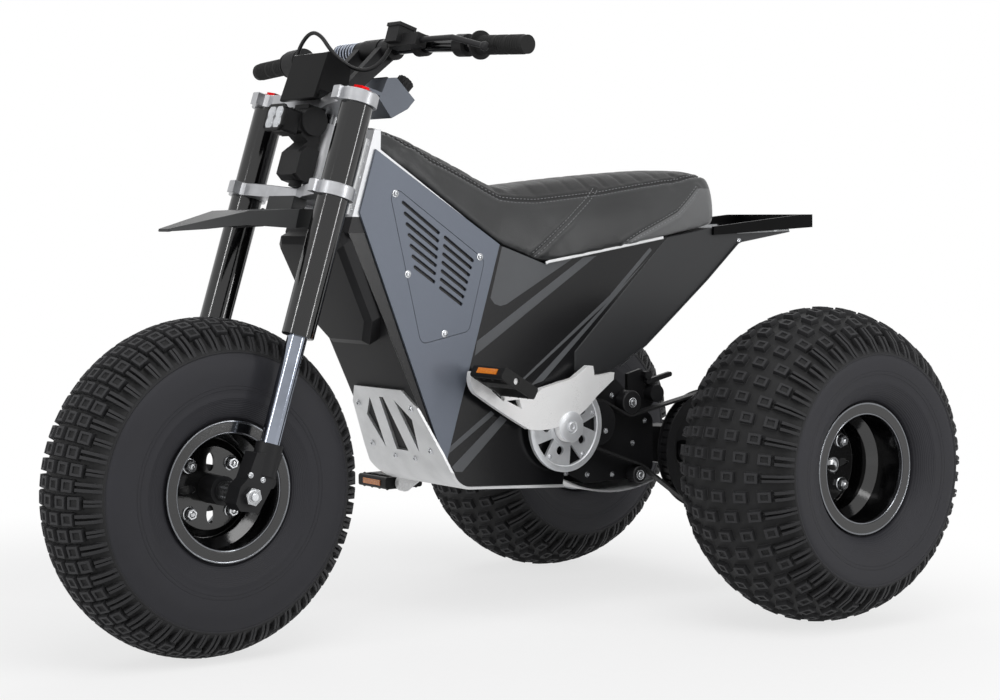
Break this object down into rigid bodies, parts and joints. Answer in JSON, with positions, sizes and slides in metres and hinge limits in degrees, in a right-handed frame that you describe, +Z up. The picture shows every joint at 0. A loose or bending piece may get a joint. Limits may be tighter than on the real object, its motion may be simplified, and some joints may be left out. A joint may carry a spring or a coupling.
{
  "type": "electric three-wheeler",
  "caption": "Small electric off-road trike with one steered front wheel, two driven rear wheels, a long bench seat, pedal cranks and faceted body panels.",
  "frame": {"origin": "on the ground at the middle of the bounding box", "axes": "+X forwards, +Y to the rider's left, +Z up"},
  "size_m": [1.5987, 1.056, 1.0514],
  "materials": {
    "black_metal": "satin black powder coat",
    "silver_alloy": "brushed bare aluminium",
    "black_case": "matt black moulded plastic",
    "black_panel": "gloss black sheet with grey stripes",
    "grey_panel": "satin metallic grey paint",
    "dark_panel": "satin dark grey paint",
    "seat_cover": "black seat vinyl with stitched seams",
    "fork_black": "gloss black anodised",
    "fork_chrome": "hard chrome",
    "steel": "machined steel",
    "red_caps": "red anodised",
    "grip_rubber": "ribbed rubber",
    "lamp": "clear lens over reflectors",
    "grey_case": "satin grey",
    "hose_rubber": "satin black hose",
    "belt_rubber": "toothed drive belt, matt black",
    "tyre": "knobbly tyre rubber",
    "rim_black": "gloss black steel rim",
    "polished_alloy": "polished aluminium",
    "pedal_black": "black moulded pedal with an amber reflector"
  },
  "bodies": {
    "chassis": {"frame": "black_metal", "head_frame": "silver_alloy", "battery_pack": "black_case", "side_panels": "black_panel", "upper_panels": "grey_panel", "vent_plates": "grey_panel", "tail_panels": "dark_panel", "subframe": "black_metal", "tail_rack": "black_metal", "seat": "seat_cover", "skid_plate": "silver_alloy", "front_cover": "dark_panel", "motor_unit": "black_metal", "axle_carrier": "black_metal", "belt_tensioner": "black_metal", "drive_belt": "belt_rubber", "brake_linkage": "black_metal", "rear_guard": "silver_alloy"},
    "steering": {"fork_tubes": "fork_black", "fork_sliders": "fork_chrome", "fork_lugs": "black_metal", "front_axle": "steel", "lower_clamp": "silver_alloy", "upper_clamp": "silver_alloy", "steering_stem": "steel", "fork_caps": "red_caps", "handlebar": "fork_black", "grips": "grip_rubber", "bar_risers": "black_metal", "bar_pad": "black_case", "bar_sleeve": "black_case", "nacelle": "dark_panel", "lamp_box": "black_case", "headlight": "lamp", "display_box": "grey_case", "key_switch": "black_case", "brake_master": "black_case", "brake_lever": "black_metal", "switch_pod": "black_case", "throttle_housing": "black_case", "front_fender": "dark_panel", "brake_hose": "hose_rubber"},
    "front_wheel": {"front_tyre": "tyre", "front_rim": "rim_black", "front_hub": "black_metal"},
    "rear_wheels": {"rear_tyre_left": "tyre", "rear_tyre_right": "tyre", "rear_rim_left": "rim_black", "rear_rim_right": "rim_black", "rear_hubs": "black_metal", "rear_axle": "steel", "drive_pulley": "black_metal"},
    "crank": {"crank_arms": "polished_alloy", "spoked_disc": "polished_alloy"},
    "left_pedal": {"left_pedal": "pedal_black"},
    "right_pedal": {"right_pedal": "pedal_black"}
  },
  "joints": [
    {"name": "steer", "type": "hinge", "parent": "chassis", "child": "steering", "pos_m": [0.30401, 0, 0.75059], "axis": [-0.2974, 0, 0.9548], "range_deg": [-25, 25]},
    {"name": "front_wheel_spin", "type": "hinge", "parent": "steering", "child": "front_wheel", "pos_m": [0.52, 0, 0.2794], "axis": [0, 1, 0], "continuous": true},
    {"name": "rear_wheels_spin", "type": "hinge", "parent": "chassis", "child": "rear_wheels", "pos_m": [-0.52, 0, 0.2794], "axis": [0, 1, 0], "continuous": true},
    {"name": "crank_spin", "type": "hinge", "parent": "chassis", "child": "crank", "pos_m": [-0.15999, 0, 0.34599], "axis": [0, 1, 0], "continuous": true},
    {"name": "left_pedal_spin", "type": "hinge", "parent": "crank", "child": "left_pedal", "pos_m": [0.03601, 0.18, 0.44199], "axis": [0, 1, 0], "continuous": true},
    {"name": "right_pedal_spin", "type": "hinge", "parent": "crank", "child": "right_pedal", "pos_m": [0.02801, -0.18, 0.23499], "axis": [0, 1, 0], "continuous": true}
  ]
}
